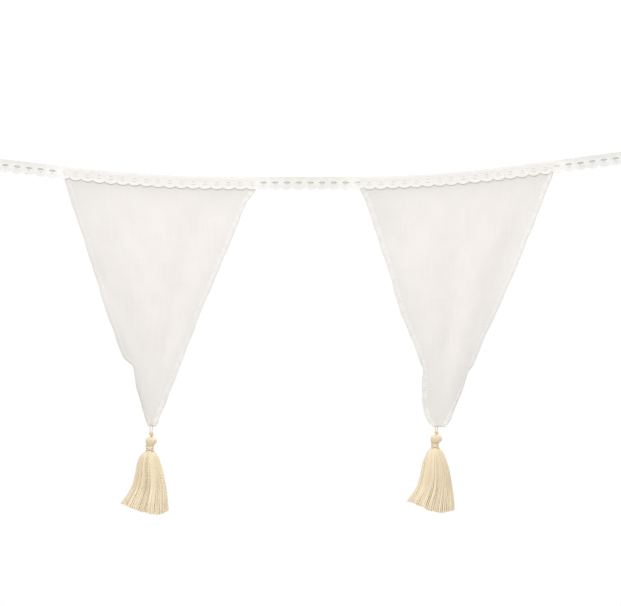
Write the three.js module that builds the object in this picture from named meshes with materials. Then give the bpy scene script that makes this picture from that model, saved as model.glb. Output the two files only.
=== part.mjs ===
// Fabric bunting: two hemmed triangular flags sewn behind one scalloped lace tape,
// with a yarn tassel hanging from the tip of each flag.
// Millimetres, +Z up, front towards -Y. Origin: top edge of the tape, halfway along it.

import * as THREE from 'three';

// Lace tape: one motif is an eyelet with the scallop below it
const motifPitch = 11.7;
const motifCount = 59;
const stationsPerMotif = 4;
const tapeWidth = 12.8;
const tapeThickness = 1.2;
const scallopDepth = 1.6;
const endHem = 14;
const hemStep = 0.4;

// The tape hangs level between the flags. Behind each flag it turns up evenly
// between two distances from the middle, and runs straight beyond them.
const tapeRise = {
  left: { from: 68, to: 248, slope: 0.119 },
  right: { from: 31, to: 199, slope: 0.128 },
};

// Flags: hemmed cotton, the top edge tucked behind the tape
const pieceGap = 0.3;
const clothThickness = 1;
const swayBack = 9;
const rollRadius = 1.7;
const flagColumns = 22;
const stepsPerRow = 2;

// Tassels
const yarnSides = 18;
const bindingSides = 20;
const bindingHeight = 3.6;
const bindingThickness = 0.75;
const bindingSectionPoints = 8;
const hangerSides = 10;
const hangerRadius = 1.5;
const knotRadius = 2.4;
const knotSteps = 5;

// Flag rows, in mm: how far down from the tape's top edge, the left and right edges from the
// flag's middle, the width of hem rolled to the back on each side, and how far the edges curl back.
// Folds: place across the flag as a share of its width, width as a share, depth back from
// the face (forward if below zero), and the stretch down the flag where the fold shows.
// Tassel rows: down from the flag's tip, left and right from the tassel's axis, depth front to
// back from the middle, and how much lower the right side is than the left.
const flags = [
  {
    name: 'left',
    middle: -153.5,
    rows: [
      { down: 2, left: -94.5, right: 100, rollLeft: 0, rollRight: 0, curl: 0 },
      { down: 14, left: -92, right: 98.5, rollLeft: 0, rollRight: 0, curl: 0 },
      { down: 26, left: -88.5, right: 89, rollLeft: 0, rollRight: 0, curl: 0.5 },
      { down: 60, left: -76.5, right: 75.5, rollLeft: 0, rollRight: 0, curl: 2 },
      { down: 100, left: -63.5, right: 59, rollLeft: 0, rollRight: 0, curl: 3 },
      { down: 140, left: -51, right: 42.2, rollLeft: 0, rollRight: 0, curl: 4 },
      { down: 183.5, left: -35.2, right: 25.8, rollLeft: 0, rollRight: 0, curl: 4.5 },
      { down: 192.5, left: -24.2, right: 22.2, rollLeft: 9, rollRight: 0, curl: 4 },
      { down: 210, left: -22, right: 15.6, rollLeft: 8.5, rollRight: 0, curl: 3.5 },
      { down: 230, left: -16.5, right: 8, rollLeft: 7, rollRight: 0, curl: 2.5 },
      { down: 246, left: -12, right: 1, rollLeft: 3, rollRight: 0, curl: 1 },
      { down: 252, left: -10.5, right: -0.5, rollLeft: 1, rollRight: 0, curl: 0 },
    ],
    folds: [
      { across: 0.14, width: 0.1, depth: 3, from: 16, to: 170 },
      { across: 0.03, width: 0.08, depth: 2.2, from: 80, to: 150 },
      { across: 0.42, width: 0.17, depth: -3.6, from: 16, to: 250 },
      { across: 0.7, width: 0.09, depth: 2.4, from: 20, to: 236 },
      { across: 0.9, width: 0.1, depth: -1.8, from: 16, to: 190 },
    ],
    tassel: {
      axis: -6.3,
      neck: { middle: -1.5, from: 20.6, to: 25.2 },
      stem: 6.1,
      rows: [
        { down: 11.5, left: -1.6, right: 1.8, depth: 1.6, slant: 0 },
        { down: 12.5, left: -4.4, right: 4.2, depth: 4.2, slant: 0 },
        { down: 14.8, left: -5.7, right: 5.5, depth: 5.5, slant: 0 },
        { down: 17.4, left: -5.5, right: 5, depth: 5.2, slant: 0 },
        { down: 20.2, left: -4.3, right: 1.6, depth: 3, slant: 0 },
        { down: 25.6, left: -4.3, right: 1.4, depth: 2.9, slant: 0 },
        { down: 27.2, left: -8.2, right: 4.4, depth: 5, slant: 0 },
        { down: 30, left: -11.1, right: 6.5, depth: 7.6, slant: 0 },
        { down: 37, left: -14.4, right: 9, depth: 9.6, slant: 0 },
        { down: 46, left: -15.6, right: 12, depth: 11.4, slant: 0.5 },
        { down: 60, left: -18.7, right: 15.1, depth: 13.6, slant: 2 },
        { down: 70, left: -24.4, right: 16.9, depth: 15, slant: 4 },
        { down: 81.5, left: -29.2, right: 18.2, depth: 16, slant: 6 },
        { down: 87, left: -14, right: 13, depth: 10.5, slant: 2 },
      ],
    },
  },
  {
    name: 'right',
    middle: 145.5,
    rows: [
      { down: 2, left: -98.5, right: 100, rollLeft: 0, rollRight: 0, curl: 0 },
      { down: 14, left: -96, right: 96.5, rollLeft: 0, rollRight: 0, curl: 0 },
      { down: 26, left: -89.5, right: 91.5, rollLeft: 0, rollRight: 0, curl: 0.5 },
      { down: 60, left: -79, right: 77.4, rollLeft: 0, rollRight: 0, curl: 2 },
      { down: 100, left: -66, right: 60.4, rollLeft: 0, rollRight: 0, curl: 3 },
      { down: 140, left: -55, right: 42.4, rollLeft: 0, rollRight: 0, curl: 4 },
      { down: 170, left: -42.4, right: 27.9, rollLeft: 0, rollRight: 0, curl: 4.5 },
      { down: 188, left: -36.5, right: 20.8, rollLeft: 1, rollRight: 0, curl: 4.5 },
      { down: 195, left: -33, right: 17.8, rollLeft: 4, rollRight: 1, curl: 4 },
      { down: 200, left: -32.4, right: 12.8, rollLeft: 3, rollRight: 5, curl: 4 },
      { down: 214, left: -33.6, right: 8.8, rollLeft: 1, rollRight: 4, curl: 3.5 },
      { down: 230, left: -33.5, right: 2.4, rollLeft: 0.5, rollRight: 3, curl: 2.5 },
      { down: 242, left: -31.5, right: -2.6, rollLeft: 0, rollRight: 1.5, curl: 1 },
      { down: 250, left: -28.5, right: -5.4, rollLeft: 0, rollRight: 0, curl: 0.4 },
      { down: 255.5, left: -23.5, right: -10.8, rollLeft: 0, rollRight: 0, curl: 0 },
    ],
    folds: [
      { across: 0.1, width: 0.08, depth: 2.8, from: 28, to: 96 },
      { across: 0.3, width: 0.15, depth: -3.2, from: 16, to: 240 },
      { across: 0.55, width: 0.1, depth: 2.2, from: 24, to: 246 },
      { across: 0.74, width: 0.1, depth: -2.4, from: 16, to: 228 },
      { across: 0.93, width: 0.08, depth: 2, from: 18, to: 150 },
    ],
    tassel: {
      axis: -19,
      neck: { middle: -1.6, from: 17.2, to: 21.2 },
      stem: 4.2,
      rows: [
        { down: 8, left: -1.7, right: 1.7, depth: 1.6, slant: 0 },
        { down: 9, left: -4.3, right: 4.2, depth: 4.2, slant: 0 },
        { down: 12, left: -6.1, right: 5.9, depth: 5.9, slant: 0 },
        { down: 14.6, left: -5.7, right: 4.9, depth: 5.3, slant: 0 },
        { down: 17, left: -4.4, right: 1.5, depth: 3, slant: 0 },
        { down: 21.4, left: -4.4, right: 1.3, depth: 2.9, slant: 0 },
        { down: 23.2, left: -7.6, right: 4.6, depth: 5, slant: 0 },
        { down: 26.6, left: -10, right: 6.9, depth: 7.4, slant: 0 },
        { down: 34.4, left: -13.2, right: 10, depth: 9.8, slant: 0 },
        { down: 44, left: -15.2, right: 13, depth: 11.6, slant: 0.5 },
        { down: 59, left: -18.7, right: 15.7, depth: 13.8, slant: 2 },
        { down: 69, left: -24.6, right: 17.5, depth: 15.2, slant: 4 },
        { down: 79, left: -28.8, right: 18.2, depth: 16, slant: 7.5 },
        { down: 84.6, left: -13, right: 13.5, depth: 10.5, slant: 3 },
      ],
    },
  },
];

const laceCotton = new THREE.MeshStandardMaterial({ color: 0xf2f0e9, roughness: 0.9, metalness: 0 });
const flagCotton = new THREE.MeshStandardMaterial({ color: 0xf1ece6, roughness: 0.92, metalness: 0 });
const tasselYarn = new THREE.MeshStandardMaterial({ color: 0xe3d1af, roughness: 0.55, metalness: 0 });

function piece(name, geometry, material) {
  const mesh = new THREE.Mesh(geometry, material);
  mesh.name = name;
  return mesh;
}

// Height of the tape's top edge at a distance from the middle
function topEdge(x) {
  const { from, to, slope } = x < 0 ? tapeRise.left : tapeRise.right;
  const out = Math.abs(x);
  if (out <= from) return 0;
  if (out >= to) return slope * (out - (from + to) / 2);
  return (slope * (out - from) ** 2) / (2 * (to - from));
}

// Joins a run of rings into one closed solid. The second half of each ring runs back beside
// the first, so each end is closed by a strip between facing points.
function loft(rings) {
  const size = rings[0].length;
  const last = (rings.length - 1) * size;
  const faces = [];
  const quad = (a, b, c, d) => faces.push(a, b, c, a, c, d);
  for (let start = 0; start < last; start += size) {
    for (let i = 0; i < size; i += 1) {
      const next = (i + 1) % size;
      quad(start + i, start + next, start + size + next, start + size + i);
    }
  }
  for (let i = 0; i + 1 < size / 2; i += 1) {
    const facing = size - 1 - i;
    quad(i, facing, facing - 1, i + 1);
    quad(last + i, last + i + 1, last + facing - 1, last + facing);
  }
  const geometry = new THREE.BufferGeometry().setFromPoints(rings.flat());
  geometry.setIndex(faces);
  geometry.computeVertexNormals();
  return geometry;
}

// Adds evenly spaced rows between the rows of a table
function spread(table, steps) {
  const rows = [];
  for (let i = 0; i + 1 < table.length; i += 1) {
    for (let step = 0; step < steps; step += 1) {
      const row = {};
      for (const column of Object.keys(table[i])) {
        row[column] = THREE.MathUtils.lerp(table[i][column], table[i + 1][column], step / steps);
      }
      rows.push(row);
    }
  }
  return [...rows, table.at(-1)];
}

// The tape is a band with scallops below, doubled at each end where it is turned back
function laceTape() {
  const half = (motifPitch * motifCount) / 2;
  const stationPitch = motifPitch / stationsPerMotif;
  const stations = [];
  for (let i = 0; i <= motifCount * stationsPerMotif; i += 1) {
    stations.push(i * stationPitch - half);
  }
  const hemEdge = half - endHem;
  stations.push(-hemEdge, -hemEdge + hemStep, hemEdge - hemStep, hemEdge);
  stations.sort((a, b) => a - b);
  return loft(stations.map((x) => {
    const phase = x / motifPitch - Math.round(x / motifPitch);
    const top = topEdge(x);
    const bottom = top - tapeWidth + scallopDepth * (2 * phase) ** 2;
    const back = Math.abs(x) >= hemEdge ? tapeThickness : 0;
    return [
      new THREE.Vector3(x, -tapeThickness, top),
      new THREE.Vector3(x, -tapeThickness, bottom),
      new THREE.Vector3(x, back, bottom),
      new THREE.Vector3(x, back, top),
    ];
  }));
}

// Depth of a flag's middle layer at a place across a row, with the folds
// spaced across a straight-sided triangle from the top corners to the tip
function flagDepth(flag, row, x) {
  const [top, tip] = [flag.rows[0], flag.rows.at(-1)];
  const drop = row.down / tip.down;
  const left = THREE.MathUtils.lerp(top.left, tip.left, drop);
  const right = THREE.MathUtils.lerp(top.right, tip.right, drop);
  const share = (x - left) / (right - left);
  let depth = pieceGap + clothThickness / 2 + swayBack * drop ** 2;
  depth += row.curl * Math.abs(2 * share - 1) ** 3;
  for (const fold of flag.folds) {
    const along = THREE.MathUtils.clamp((row.down - fold.from) / (fold.to - fold.from), 0, 1);
    const offset = (share - fold.across) / fold.width;
    depth += fold.depth * Math.sin(Math.PI * along) ** 2 * Math.exp(-(offset ** 2));
  }
  return depth;
}

// How far a rolled hem stands out sideways and back at a distance into the roll
function rollAt(distance) {
  const halfTurn = Math.PI * rollRadius;
  if (distance >= halfTurn) return { out: halfTurn - distance, back: 2 * rollRadius };
  const angle = distance / rollRadius;
  return { out: rollRadius * Math.sin(angle), back: rollRadius * (1 - Math.cos(angle)) };
}

function rollReach(width) {
  return rollRadius * Math.sin(Math.min(width / rollRadius, Math.PI / 2));
}

// The points of one row of cloth, from its left hem to its right hem
function flagRow(flag, row) {
  const height = flag.rows.at(-1).down;
  const faceLeft = row.left + rollReach(row.rollLeft);
  const face = row.right - rollReach(row.rollRight) - faceLeft;
  const cut = row.rollLeft + face + row.rollRight;
  const points = [];
  for (let column = 0; column <= flagColumns; column += 1) {
    const along = (cut * column) / flagColumns - row.rollLeft;
    const onFace = THREE.MathUtils.clamp(along, 0, face);
    const roll = rollAt(Math.abs(along - onFace));
    const x = faceLeft + onFace + Math.sign(along - onFace) * roll.out;
    const rise = topEdge(flag.middle + x) - topEdge(flag.middle);
    const z = rise * (1 - row.down / height) - row.down;
    points.push(new THREE.Vector3(x, flagDepth(flag, row, x) + roll.back, z));
  }
  return points;
}

// A flag is one sheet: its rows, thickened to both sides
function flagCloth(flag) {
  const grid = spread(flag.rows, stepsPerRow).map((row) => flagRow(flag, row));
  const lastRow = grid.length - 1;
  const rings = grid.map((row, r) => {
    const front = [];
    const back = [];
    row.forEach((point, c) => {
      const across = row[Math.min(c + 1, flagColumns)].clone().sub(row[Math.max(c - 1, 0)]);
      const down = grid[Math.min(r + 1, lastRow)][c].clone().sub(grid[Math.max(r - 1, 0)][c]);
      const half = across.cross(down).setLength(clothThickness / 2);
      front.unshift(point.clone().sub(half));
      back.push(point.clone().add(half));
    });
    return [...front, ...back];
  });
  return loft(rings);
}

// Head, neck and skirt of a tassel, leaning as its rows say
function tasselYarnBundle(tassel) {
  return loft(tassel.rows.map((row) => {
    const centre = (row.left + row.right) / 2;
    const reach = (row.right - row.left) / 2;
    const ring = [];
    for (let side = 0; side < yarnSides; side += 1) {
      const angle = ((side + 0.5) / yarnSides) * 2 * Math.PI;
      const across = Math.cos(angle);
      const z = -row.down - (row.slant * across) / 2;
      ring.push(new THREE.Vector3(centre + reach * across, -row.depth * Math.sin(angle), z));
    }
    return ring;
  }));
}

// Thread wound round the neck: a ring of oval section
function tasselBinding(neckRadius) {
  const middle = neckRadius + pieceGap + bindingThickness / 2;
  const section = [];
  for (let i = 0; i <= bindingSectionPoints; i += 1) {
    const angle = ((i % bindingSectionPoints) / bindingSectionPoints) * 2 * Math.PI;
    const radius = middle + (bindingThickness / 2) * Math.cos(angle);
    section.push(new THREE.Vector2(radius, (bindingHeight / 2) * Math.sin(angle)));
  }
  return new THREE.LatheGeometry(section, bindingSides).rotateX(Math.PI / 2);
}

// Short cord from the flag's tip down to a knot that sits on the tassel's head
function tasselHanger(tassel) {
  const knotTop = -tassel.stem;
  const knotBottom = -tassel.rows[0].down + pieceGap;
  const profile = [new THREE.Vector2(0, knotBottom)];
  for (let step = 1; step < knotSteps; step += 1) {
    const angle = (step / knotSteps) * Math.PI;
    const height = (knotTop + knotBottom - (knotTop - knotBottom) * Math.cos(angle)) / 2;
    profile.push(new THREE.Vector2(Math.max(knotRadius * Math.sin(angle), hangerRadius), height));
  }
  profile.push(new THREE.Vector2(hangerRadius, knotTop));
  profile.push(new THREE.Vector2(hangerRadius, -pieceGap));
  profile.push(new THREE.Vector2(0, -pieceGap));
  return new THREE.LatheGeometry(profile, hangerSides).rotateX(Math.PI / 2);
}

function tasselGroup(flag) {
  const { tassel, name } = flag;
  const neckRow = tassel.rows.find((row) => row.down > tassel.neck.from - 1);
  const binding = piece(`tassel_binding_${name}`, tasselBinding(neckRow.depth), tasselYarn);
  binding.position.set(tassel.neck.middle, 0, -(tassel.neck.from + tassel.neck.to) / 2);
  const group = new THREE.Group();
  group.add(piece(`tassel_yarn_${name}`, tasselYarnBundle(tassel), tasselYarn));
  group.add(binding);
  group.add(piece(`tassel_hanger_${name}`, tasselHanger(tassel), tasselYarn));
  group.position.set(tassel.axis, pieceGap + clothThickness / 2 + swayBack, -flag.rows.at(-1).down);
  return group;
}

const bunting = new THREE.Group();
bunting.add(piece('lace_tape', laceTape(), laceCotton));
for (const flag of flags) {
  const group = new THREE.Group();
  group.position.set(flag.middle, 0, topEdge(flag.middle));
  group.add(piece(`flag_${flag.name}`, flagCloth(flag), flagCotton));
  group.add(tasselGroup(flag));
  bunting.add(group);
}

export default bunting;
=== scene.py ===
import math

import bpy
import numpy as np
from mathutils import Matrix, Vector


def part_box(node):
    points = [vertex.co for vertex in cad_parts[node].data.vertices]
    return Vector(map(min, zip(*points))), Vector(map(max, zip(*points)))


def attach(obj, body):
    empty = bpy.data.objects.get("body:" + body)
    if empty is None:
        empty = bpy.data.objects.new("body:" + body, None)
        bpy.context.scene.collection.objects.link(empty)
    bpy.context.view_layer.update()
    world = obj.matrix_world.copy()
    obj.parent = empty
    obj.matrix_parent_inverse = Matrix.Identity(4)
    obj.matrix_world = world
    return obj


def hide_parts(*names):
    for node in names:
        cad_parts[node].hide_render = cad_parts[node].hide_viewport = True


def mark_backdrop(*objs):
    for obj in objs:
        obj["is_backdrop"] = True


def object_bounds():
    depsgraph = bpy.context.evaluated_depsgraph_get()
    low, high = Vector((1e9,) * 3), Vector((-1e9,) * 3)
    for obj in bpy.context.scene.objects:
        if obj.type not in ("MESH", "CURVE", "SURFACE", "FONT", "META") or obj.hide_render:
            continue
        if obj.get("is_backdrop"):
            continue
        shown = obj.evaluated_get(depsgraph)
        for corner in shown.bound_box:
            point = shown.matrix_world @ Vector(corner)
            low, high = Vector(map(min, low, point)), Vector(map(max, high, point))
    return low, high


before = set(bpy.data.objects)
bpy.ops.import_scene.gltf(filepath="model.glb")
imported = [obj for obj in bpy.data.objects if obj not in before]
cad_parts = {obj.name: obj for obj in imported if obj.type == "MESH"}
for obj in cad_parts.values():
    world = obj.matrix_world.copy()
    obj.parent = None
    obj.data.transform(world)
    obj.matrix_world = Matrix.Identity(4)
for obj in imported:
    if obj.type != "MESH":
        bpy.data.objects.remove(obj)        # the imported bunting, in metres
cadBox = [list(corner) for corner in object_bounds()]
mm = 0.001
scene = bpy.context.scene
print("frame loaded:", sorted(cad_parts))


# Node helpers, for geometry and shader trees alike

def addNode(tree, kind, values=None, **settings):
    node = tree.nodes.new(kind)
    for name, value in settings.items():
        setattr(node, name, value)
    for socket, value in (values or {}).items():
        plug(tree, value, node.inputs[socket])
    return node


def plug(tree, value, target):
    if isinstance(value, bpy.types.NodeSocket):
        tree.links.new(value, target)
    else:
        target.default_value = value


def mathNode(tree, operation, *values):
    node = tree.nodes.new("ShaderNodeMath")
    node.operation = operation
    for value, target in zip(values, node.inputs):
        plug(tree, value, target)
    return node.outputs[0]


def rampNode(tree, value, low, high, start, end):
    node = addNode(tree, "ShaderNodeMapRange", {"Value": value}, interpolation_type="SMOOTHSTEP")
    for target, number in zip(node.inputs[1:5], (low, high, start, end)):
        target.default_value = number
    return node.outputs[0]


# Two values mixed, with the first one's share
def blendNode(tree, first, second, share):
    return mathNode(tree, "ADD", mathNode(tree, "MULTIPLY", first, share),
                    mathNode(tree, "MULTIPLY", second, 1 - share))


def mixColor(tree, factor, first, second, blend="MIX"):
    node = addNode(tree, "ShaderNodeMix", data_type="RGBA", blend_type=blend)
    for index, value in ((0, factor), (6, first), (7, second)):
        plug(tree, value, node.inputs[index])
    return node.outputs[2]


def attributeNode(tree, name):
    return addNode(tree, "ShaderNodeAttribute", attribute_name=name).outputs


def geometryTree(name, inputs):
    tree = bpy.data.node_groups.new(name, "GeometryNodeTree")
    face = tree.interface
    face.new_socket("Geometry", in_out="INPUT", socket_type="NodeSocketGeometry")
    for label, kind in inputs.items():
        face.new_socket(label, in_out="INPUT", socket_type="NodeSocket" + kind)
    face.new_socket("Geometry", in_out="OUTPUT", socket_type="NodeSocketGeometry")
    return tree, tree.nodes.new("NodeGroupInput").outputs


def closeTree(tree, geometry, material):
    smooth = addNode(tree, "GeometryNodeSetShadeSmooth", {0: geometry})
    real = addNode(tree, "GeometryNodeRealizeInstances", {0: smooth.outputs[0]})
    dyed = addNode(tree, "GeometryNodeSetMaterial", {"Geometry": real.outputs[0], "Material": material})
    addNode(tree, "NodeGroupOutput", {0: dyed.outputs[0]})


def namedValue(tree, name, kind="FLOAT"):
    node = addNode(tree, "GeometryNodeInputNamedAttribute", {"Name": name}, data_type=kind)
    return node.outputs["Attribute"]


# Sweeps every thread of a curve with a small flattened round section
def sweepThreads(tree, curve, sides, flatness):
    normals = addNode(tree, "GeometryNodeSetCurveNormal", {"Curve": curve})
    normals.mode = "Z_UP" if flatness < 1 else "MINIMUM_TWIST"
    ring = addNode(tree, "GeometryNodeCurvePrimitiveCircle", {"Resolution": sides, "Radius": 1.0})
    around = addNode(tree, "GeometryNodeSplineParameter").outputs["Factor"]
    marked = addNode(tree, "GeometryNodeStoreNamedAttribute",
                     {"Geometry": ring.outputs[0], "Name": "around", "Value": around},
                     data_type="FLOAT", domain="POINT")
    section = addNode(tree, "GeometryNodeTransform",
                      {"Geometry": marked.outputs[0], "Scale": (1, flatness, 1)})
    swept = addNode(tree, "GeometryNodeCurveToMesh",
                    {"Curve": normals.outputs[0], "Profile Curve": section.outputs[0],
                     "Scale": namedValue(tree, "threadRadius"), "Fill Caps": True})
    return swept.outputs[0]


def meshObject(name, mesh):
    piece = bpy.data.objects.new(name, mesh)
    scene.collection.objects.link(piece)
    return piece


def addAttribute(mesh, name, values, kind="FLOAT"):
    attribute = mesh.attributes.new(name, kind, "POINT")
    field = "vector" if kind == "FLOAT_VECTOR" else "value"
    attribute.data.foreach_set(field, np.asarray(values, dtype=np.float32).ravel())


# Open polylines as a mesh of edges: each thread is its points and what it carries along them
def threadObject(name, threads):
    points, edges = [], []
    carried = {key: [] for key in threads[0] if key != "points"}
    for thread in threads:
        first = len(points)
        count = len(thread["points"])
        points.extend(map(tuple, thread["points"]))
        edges.extend((first + i, first + i + 1) for i in range(count - 1))
        for key, values in carried.items():
            values.extend(np.broadcast_to(thread[key], (count,) + np.shape(thread[key])[1:])
                          if key != "facing" else thread[key])
    mesh = bpy.data.meshes.new(name)
    mesh.from_pydata(points, edges, [])
    for key, values in carried.items():
        addAttribute(mesh, key, values, "FLOAT_VECTOR" if key == "facing" else "FLOAT")
    return meshObject(name, mesh)


# Runs a geometry tree on a helper object and keeps the result as a plain mesh piece
def growPiece(name, source, tree, values):
    modifier = source.modifiers.new(tree.name, "NODES")
    modifier.node_group = tree
    for item in tree.interface.items_tree:
        if item.item_type == "SOCKET" and item.in_out == "INPUT" and item.name in values:
            modifier[item.identifier] = values[item.name]
    graph = bpy.context.evaluated_depsgraph_get()
    mesh = bpy.data.meshes.new_from_object(source.evaluated_get(graph))
    source.modifiers.remove(modifier)
    bpy.data.objects.remove(source)
    mesh.name = name
    mesh.calc_loop_triangles()
    print("  made", name, len(mesh.loop_triangles), "triangles")
    return meshObject(name, mesh)


# The line that the tape hangs in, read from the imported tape's own top edge
def readTopEdge():
    heights = {}
    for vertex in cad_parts["lace_tape"].data.vertices:
        x = round(vertex.co.x, 5)
        heights[x] = max(heights.get(x, -1), vertex.co.z)
    places = np.array(sorted(heights))
    return places, np.array([heights[x] for x in places])


edgeX, edgeZ = readTopEdge()


def topEdge(x):
    return np.interp(x, edgeX, edgeZ)


# Finishes

def newMaterial(name):
    material = bpy.data.materials.new(name)
    material.use_nodes = True
    tree = material.node_tree
    return material, tree, tree.nodes["Principled BSDF"]


def noiseNode(tree, vector, scale, detail=3.0, rough=0.55):
    node = addNode(tree, "ShaderNodeTexNoise", {"Vector": vector, "Scale": scale,
                                                "Detail": detail, "Roughness": rough})
    return node.outputs["Fac"]


def bumpNode(tree, height, strength, distance):
    node = addNode(tree, "ShaderNodeBump", {"Height": height, "Strength": strength, "Distance": distance})
    return node.outputs["Normal"]


def setSheen(shader, look):
    shader.inputs["Sheen Weight"].default_value = look["sheen"]
    shader.inputs["Specular IOR Level"].default_value = look["gloss"]


cottonFinish = {
    "color": (0.79, 0.757, 0.728, 1), "shade": (0.745, 0.712, 0.682, 1), "hem": (0.815, 0.793, 0.765, 1),
    # painted shade colours on this line: a grey for the cloth under the tape, at the tip and on the left side,
    # and a painted shadow along the stitching
    "paintedShade": (0.7, 0.675, 0.638, 1), "seam": (0.59, 0.57, 0.54, 1), "seamShadeDepth": 0.3,
    "threadPitch": 0.45 * mm, "weave": 0.22, "slub": 0.45, "bump": 0.35, "bumpDepth": 0.25 * mm,
    "warpSlubs": (1500, 26, 1), "weftSlubs": (30, 1500, 1), "warpShare": 0.62, "slubShare": 0.6,
    "cloudScale": 34.0, "hemPatchScale": 190.0,
    "roughness": 0.88, "roughest": 0.97, "sheen": 0.18, "gloss": 0.22,
}


def flagCotton():
    material, tree, shader = newMaterial("flag cotton")
    look = cottonFinish
    cloth = addNode(tree, "ShaderNodeUVMap", uv_map="cloth").outputs[0]
    split = addNode(tree, "ShaderNodeSeparateXYZ", {0: cloth}).outputs
    turns = 2 * math.pi / look["threadPitch"]
    warp = mathNode(tree, "SINE", mathNode(tree, "MULTIPLY", split[0], turns))
    weft = mathNode(tree, "SINE", mathNode(tree, "MULTIPLY", split[1], turns))
    weave = mathNode(tree, "MULTIPLY", warp, weft)
    slubs = []
    for stretch in (look["warpSlubs"], look["weftSlubs"]):        # thick places in the threads
        drawn = addNode(tree, "ShaderNodeVectorMath", {0: cloth, 1: stretch}, operation="MULTIPLY")
        slubs.append(noiseNode(tree, drawn.outputs[0], 1.0, 2.0, 0.5))
    slub = blendNode(tree, *slubs, look["warpShare"])
    cloud = noiseNode(tree, cloth, look["cloudScale"], 4.0, 0.6)
    tone = rampNode(tree, blendNode(tree, slub, cloud, look["slubShare"]), 0.36, 0.64, 0.0, 1.0)
    ground = mixColor(tree, tone, look["shade"], look["color"])
    # painted shade: the cloth greyed under the tape, towards the tip and along the left side
    ground = mixColor(tree, attributeNode(tree, "paintedShade")["Fac"], ground, look["paintedShade"])
    patchy = rampNode(tree, noiseNode(tree, cloth, look["hemPatchScale"], 2.0, 0.5), 0.35, 0.65, 0.2, 1.0)
    doubled = mathNode(tree, "MULTIPLY", attributeNode(tree, "doubled")["Fac"], patchy)
    hemmed = mixColor(tree, doubled, ground, look["hem"])
    # painted shadow: a darker line along the stitching, standing in for shade in the seam's groove
    seamShade = mathNode(tree, "MULTIPLY", attributeNode(tree, "seamShadeLine")["Fac"], look["seamShadeDepth"])
    plug(tree, mixColor(tree, seamShade, hemmed, look["seam"]), shader.inputs["Base Color"])
    plug(tree, rampNode(tree, slub, 0.3, 0.7, look["roughness"], look["roughest"]), shader.inputs["Roughness"])
    height = mathNode(tree, "ADD", mathNode(tree, "MULTIPLY", weave, look["weave"]),
                      mathNode(tree, "MULTIPLY", slub, look["slub"]))
    plug(tree, bumpNode(tree, height, look["bump"], look["bumpDepth"]), shader.inputs["Normal"])
    setSheen(shader, look)
    return material


threadFinish = {
    "color": (0.995, 0.975, 0.942, 1), "shade": (0.96, 0.937, 0.9, 1),
    # painted shade colours on this line: a grey for the tape where no flag lies behind, and the dark painted on
    # its eyelet and slit rims there
    "openShade": (0.91, 0.915, 0.905, 1), "eyelet": (0.3, 0.3, 0.28, 1),
    "fibreScale": 2600.0, "cloudScale": 140.0, "fibreShare": 0.5, "bump": 0.4, "bumpDepth": 0.12 * mm,
    "roughness": 0.8, "roughest": 0.95, "sheen": 0.15, "gloss": 0.25,
}


def cottonThread(name, look, eyelets):
    material, tree, shader = newMaterial(name)
    place = addNode(tree, "ShaderNodeTexCoord").outputs["Object"]
    fibre = noiseNode(tree, place, look["fibreScale"], 3.0, 0.6)
    cloud = noiseNode(tree, place, look["cloudScale"], 3.0, 0.6)
    tone = rampNode(tree, blendNode(tree, fibre, cloud, look["fibreShare"]), 0.34, 0.66, 0.0, 1.0)
    color = mixColor(tree, tone, look["shade"], look["color"])
    if eyelets:
        # painted shade: where no flag lies behind, the tape is darkened a little and the rims of its eyelets
        # and slits are painted dark, standing in for shade in the holes
        past = attributeNode(tree, "pastFlag")["Fac"]
        color = mixColor(tree, rampNode(tree, past, -0.5, 2.5, 0.0, 1.0), color, look["openShade"], "MULTIPLY")
        dark = rampNode(tree, past, -0.2, 0.2, 0.0, 1.0)
        depth = mathNode(tree, "MULTIPLY", attributeNode(tree, "shade")["Fac"], dark)
        color = mixColor(tree, depth, color, look["eyelet"])
    plug(tree, color, shader.inputs["Base Color"])
    plug(tree, rampNode(tree, fibre, 0.3, 0.7, look["roughness"], look["roughest"]), shader.inputs["Roughness"])
    plug(tree, bumpNode(tree, fibre, look["bump"], look["bumpDepth"]), shader.inputs["Normal"])
    setSheen(shader, look)
    return material


yarnFinish = {
    "light": (0.89, 0.77, 0.568, 1), "mid": (0.765, 0.648, 0.456, 1), "deep": (0.64, 0.515, 0.345, 1),
    # painted light on this line lightens the strand ends; painted shade on the next darkens the grooves between
    # plies
    "tintShare": 0.6, "cloudShare": 0.3, "cloudScale": 90.0, "endPaintedLight": 0.42, "endDull": 0.2,
    "plyPitch": 3.0 * mm, "plyShade": 0.12, "darkTint": 0.8, "bump": 0.2, "bumpDepth": 0.06 * mm,
    "roughness": 0.4, "roughest": 0.56, "sheen": 0.12, "gloss": 0.5,
}


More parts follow.
